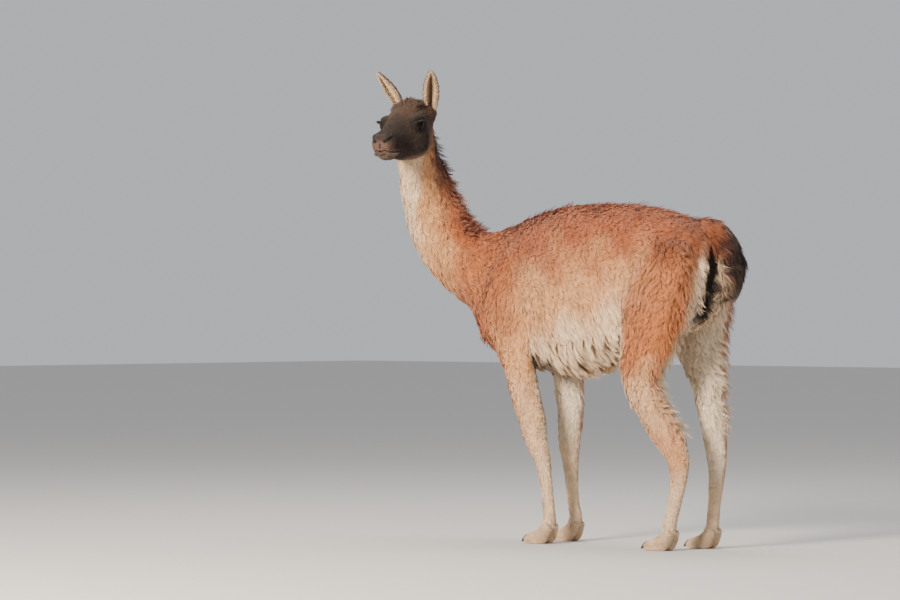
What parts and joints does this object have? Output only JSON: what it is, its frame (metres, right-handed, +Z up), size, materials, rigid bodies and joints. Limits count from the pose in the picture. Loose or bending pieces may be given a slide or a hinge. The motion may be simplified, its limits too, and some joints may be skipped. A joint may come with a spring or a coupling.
{
  "type": "guanaco",
  "caption": "Life-size guanaco standing square on its padded feet, neck raised and head turned back over its left shoulder.",
  "frame": {"origin": "middle of the bounding box at floor level, under the soles", "axes": "+X the way the body faces, +Y to the animal's left, +Z up"},
  "size_m": [1.3126, 0.677, 1.5697],
  "materials": {
    "ear_hair": "short hair, dark behind and cream inside",
    "eye": "wet and glossy, very dark",
    "face_hair": "short dark grey-brown hair",
    "leg_hair": "short pale hair, tan in front",
    "nail": "dull dark horn",
    "rufous_coat": "dense wool, rufous above and cream below",
    "tail_hair": "long dark rufous hair",
    "thigh_coat": "curled wool, pale behind"
  },
  "bodies": {
    "root": {"neck": "rufous_coat", "torso": "rufous_coat", "front_left_upper_leg": "thigh_coat", "front_left_lower_leg": "leg_hair", "front_left_foot": "leg_hair", "front_right_upper_leg": "thigh_coat", "front_right_lower_leg": "leg_hair", "front_right_foot": "leg_hair", "hind_left_upper_leg": "thigh_coat", "hind_left_lower_leg": "leg_hair", "hind_left_foot": "leg_hair", "hind_right_upper_leg": "thigh_coat", "hind_right_lower_leg": "leg_hair", "hind_right_foot": "leg_hair", "head": "face_hair", "tail": "tail_hair", "front_left_outer_nail": "nail", "front_left_inner_nail": "nail", "front_right_outer_nail": "nail", "front_right_inner_nail": "nail", "hind_left_outer_nail": "nail", "hind_left_inner_nail": "nail", "hind_right_outer_nail": "nail", "hind_right_inner_nail": "nail", "left_eye": "eye", "left_ear": "ear_hair", "right_eye": "eye", "right_ear": "ear_hair"}
  },
  "joints": []
}
